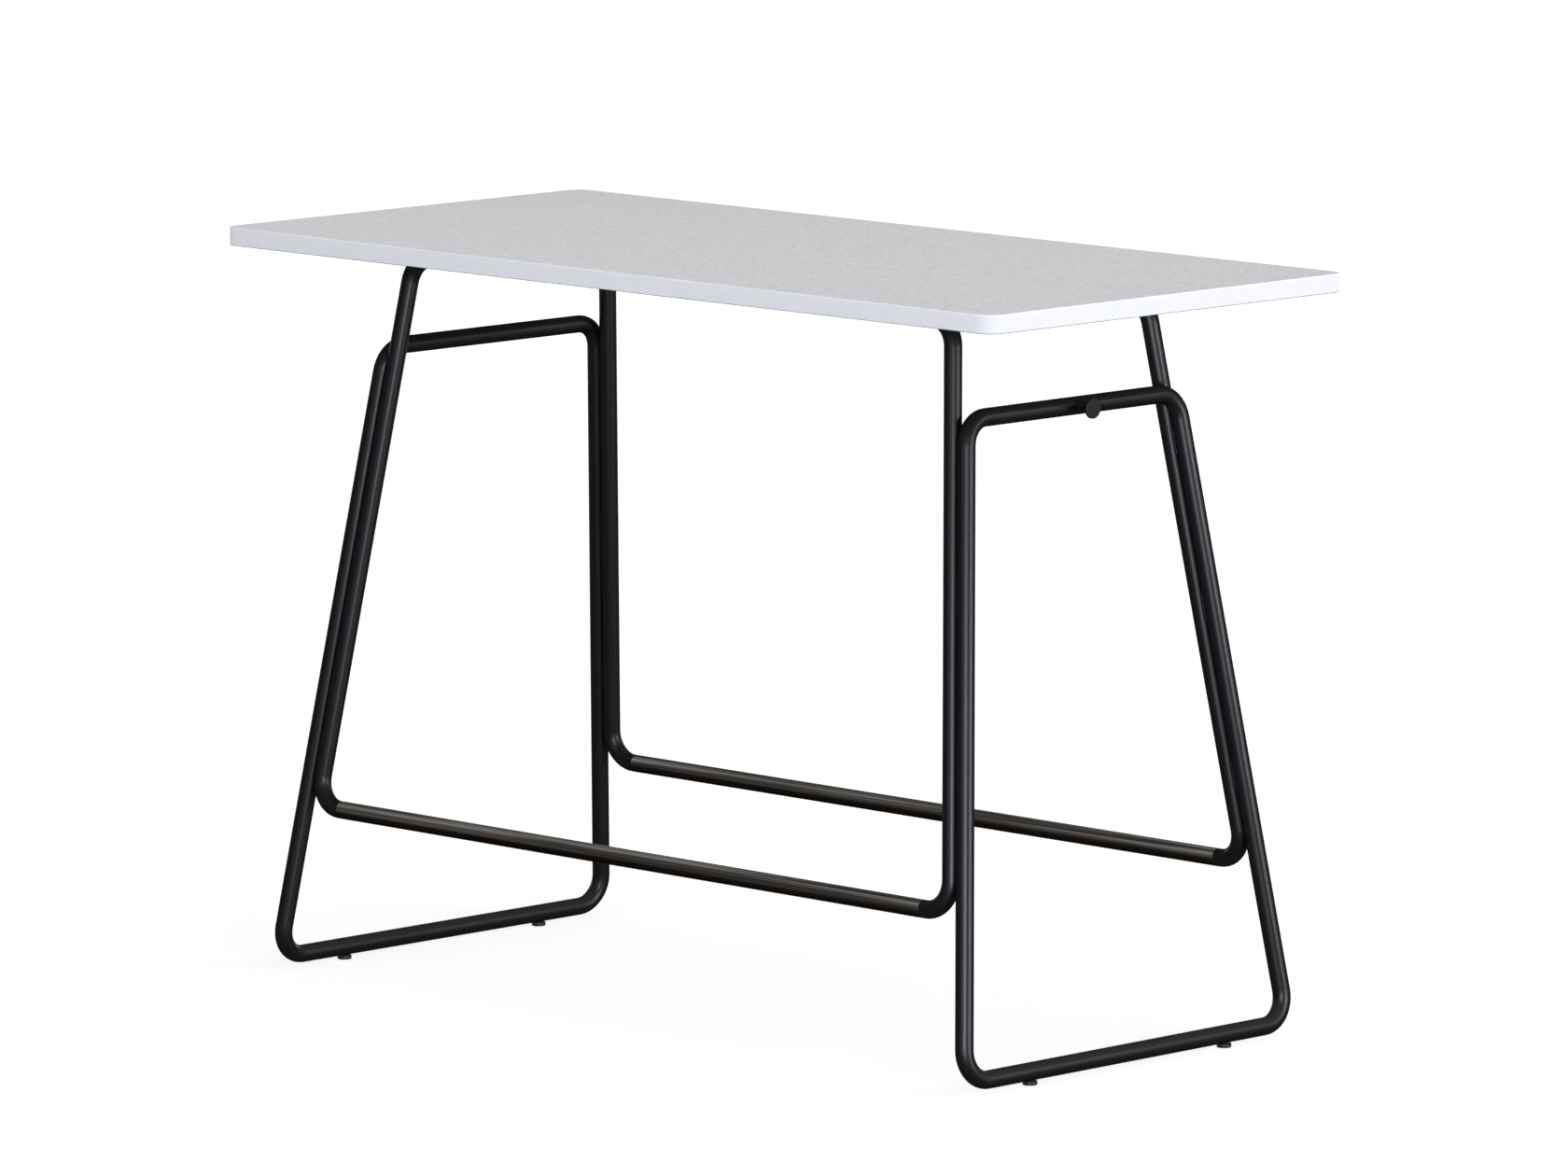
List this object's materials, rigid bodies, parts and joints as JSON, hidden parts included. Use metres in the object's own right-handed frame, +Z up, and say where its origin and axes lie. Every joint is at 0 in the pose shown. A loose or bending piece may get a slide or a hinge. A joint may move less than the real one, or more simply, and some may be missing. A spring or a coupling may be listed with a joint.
{
  "type": "bar table",
  "caption": "Tall rectangular bar table: white laminated top on welded loops of bent round tube, with brushed foot bars, a bag hook and screw glides.",
  "frame": {"origin": "on the floor under the middle of the tabletop", "axes": "+Z up, +X along the table's length towards the end with the bag hook, -Y towards the front"},
  "size_m": [1.5, 0.7, 1.057],
  "materials": {
    "white_laminate": "fine matt texture",
    "backing_laminate": "plain matt",
    "white_edge": "satin",
    "board_core": "raw fibreboard",
    "black_powder_coat": "satin powder coat",
    "brushed_steel": "brushed along the tube",
    "black_nylon": "moulded",
    "zinc_steel": "zinc plated"
  },
  "bodies": {
    "table": {"tabletop_core": "board_core", "tabletop_laminate": "white_laminate", "tabletop_backing": "backing_laminate", "tabletop_edge_band": "white_edge", "tabletop_inserts": "zinc_steel", "end_loop_left": "black_powder_coat", "end_loop_right": "black_powder_coat", "side_loop_front": "black_powder_coat", "side_loop_back": "black_powder_coat", "foot_bar_front": "brushed_steel", "foot_bar_back": "brushed_steel", "foot_bar_grub_screws": "zinc_steel", "leg_welds_front_left": "black_powder_coat", "leg_welds_front_right": "black_powder_coat", "leg_welds_back_left": "black_powder_coat", "leg_welds_back_right": "black_powder_coat", "fixing_tabs_front": "black_powder_coat", "tab_welds_front": "black_powder_coat", "fixing_tabs_back": "black_powder_coat", "tab_welds_back": "black_powder_coat", "tabletop_washers": "zinc_steel", "tabletop_screws": "zinc_steel", "bag_hook": "black_powder_coat", "bag_hook_insert": "zinc_steel", "bag_hook_stud": "zinc_steel", "glide_insert_front_left": "zinc_steel", "glide_insert_front_right": "zinc_steel", "glide_insert_back_left": "zinc_steel", "glide_insert_back_right": "zinc_steel"},
    "glide_front_left": {"glide_pad_front_left": "black_nylon"},
    "stud_front_left": {"glide_stud_front_left": "zinc_steel"},
    "glide_front_right": {"glide_pad_front_right": "black_nylon"},
    "stud_front_right": {"glide_stud_front_right": "zinc_steel"},
    "glide_back_left": {"glide_pad_back_left": "black_nylon"},
    "stud_back_left": {"glide_stud_back_left": "zinc_steel"},
    "glide_back_right": {"glide_pad_back_right": "black_nylon"},
    "stud_back_right": {"glide_stud_back_right": "zinc_steel"}
  },
  "joints": [
    {"name": "glide_travel_front_left", "type": "slide", "parent": "table", "child": "glide_front_left", "axis": [0, 0, -1], "range_m": [0, 0.008]},
    {"name": "stud_turn_front_left", "type": "hinge", "parent": "glide_front_left", "child": "stud_front_left", "pos_m": [-0.675, -0.192, 0.003], "axis": [0, 0, -1], "range_deg": [0, 2305]},
    {"name": "glide_travel_front_right", "type": "slide", "parent": "table", "child": "glide_front_right", "axis": [0, 0, -1], "range_m": [0, 0.008]},
    {"name": "stud_turn_front_right", "type": "hinge", "parent": "glide_front_right", "child": "stud_front_right", "pos_m": [0.675, -0.192, 0.003], "axis": [0, 0, -1], "range_deg": [0, 2305]},
    {"name": "glide_travel_back_left", "type": "slide", "parent": "table", "child": "glide_back_left", "axis": [0, 0, -1], "range_m": [0, 0.008]},
    {"name": "stud_turn_back_left", "type": "hinge", "parent": "glide_back_left", "child": "stud_back_left", "pos_m": [-0.675, 0.192, 0.003], "axis": [0, 0, -1], "range_deg": [0, 2305]},
    {"name": "glide_travel_back_right", "type": "slide", "parent": "table", "child": "glide_back_right", "axis": [0, 0, -1], "range_m": [0, 0.008]},
    {"name": "stud_turn_back_right", "type": "hinge", "parent": "glide_back_right", "child": "stud_back_right", "pos_m": [0.675, 0.192, 0.003], "axis": [0, 0, -1], "range_deg": [0, 2305]}
  ],
  "couplings": [
    {"joint": "stud_turn_front_left", "follows": "glide_travel_front_left", "rad_per_m": 5026.5},
    {"joint": "stud_turn_front_right", "follows": "glide_travel_front_right", "rad_per_m": 5026.5},
    {"joint": "stud_turn_back_left", "follows": "glide_travel_back_left", "rad_per_m": 5026.5},
    {"joint": "stud_turn_back_right", "follows": "glide_travel_back_right", "rad_per_m": 5026.5}
  ]
}
